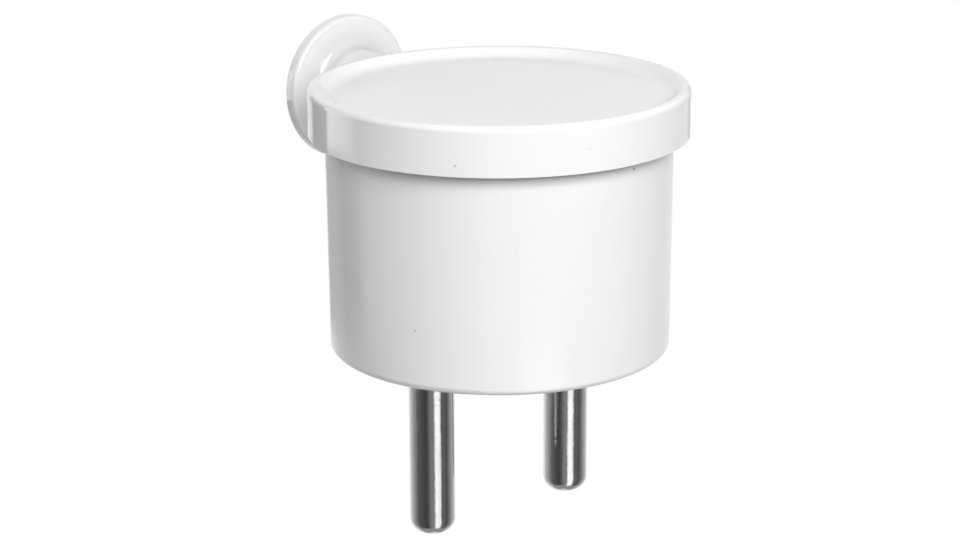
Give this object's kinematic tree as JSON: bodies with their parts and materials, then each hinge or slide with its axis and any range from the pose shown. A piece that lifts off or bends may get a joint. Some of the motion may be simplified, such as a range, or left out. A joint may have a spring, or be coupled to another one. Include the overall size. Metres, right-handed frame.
{
  "type": "angled mains plug",
  "caption": "Round white angled mains plug with straight metal pins, an overhanging dished cap and a flared side outlet for its cord.",
  "frame": {"origin": "centre of the socket-side face, midway between the pins", "axes": "+Z away from the socket along the pins, +Y the way the cord leaves, X along the line through the pins"},
  "size_m": [0.0398, 0.0465, 0.0507],
  "materials": {
    "white_moulding": "gloss",
    "pin_metal": "satin",
    "screw_steel": "satin",
    "insert_brass": "satin"
  },
  "bodies": {
    "root": {"base": "white_moulding", "cover": "white_moulding", "pin_left": "pin_metal", "pin_right": "pin_metal", "terminal_screw_left": "screw_steel", "terminal_screw_right": "screw_steel", "cord_clamp": "white_moulding", "clamp_screw_left": "screw_steel", "clamp_screw_right": "screw_steel", "cover_screw": "screw_steel", "cover_insert": "insert_brass"}
  },
  "joints": []
}
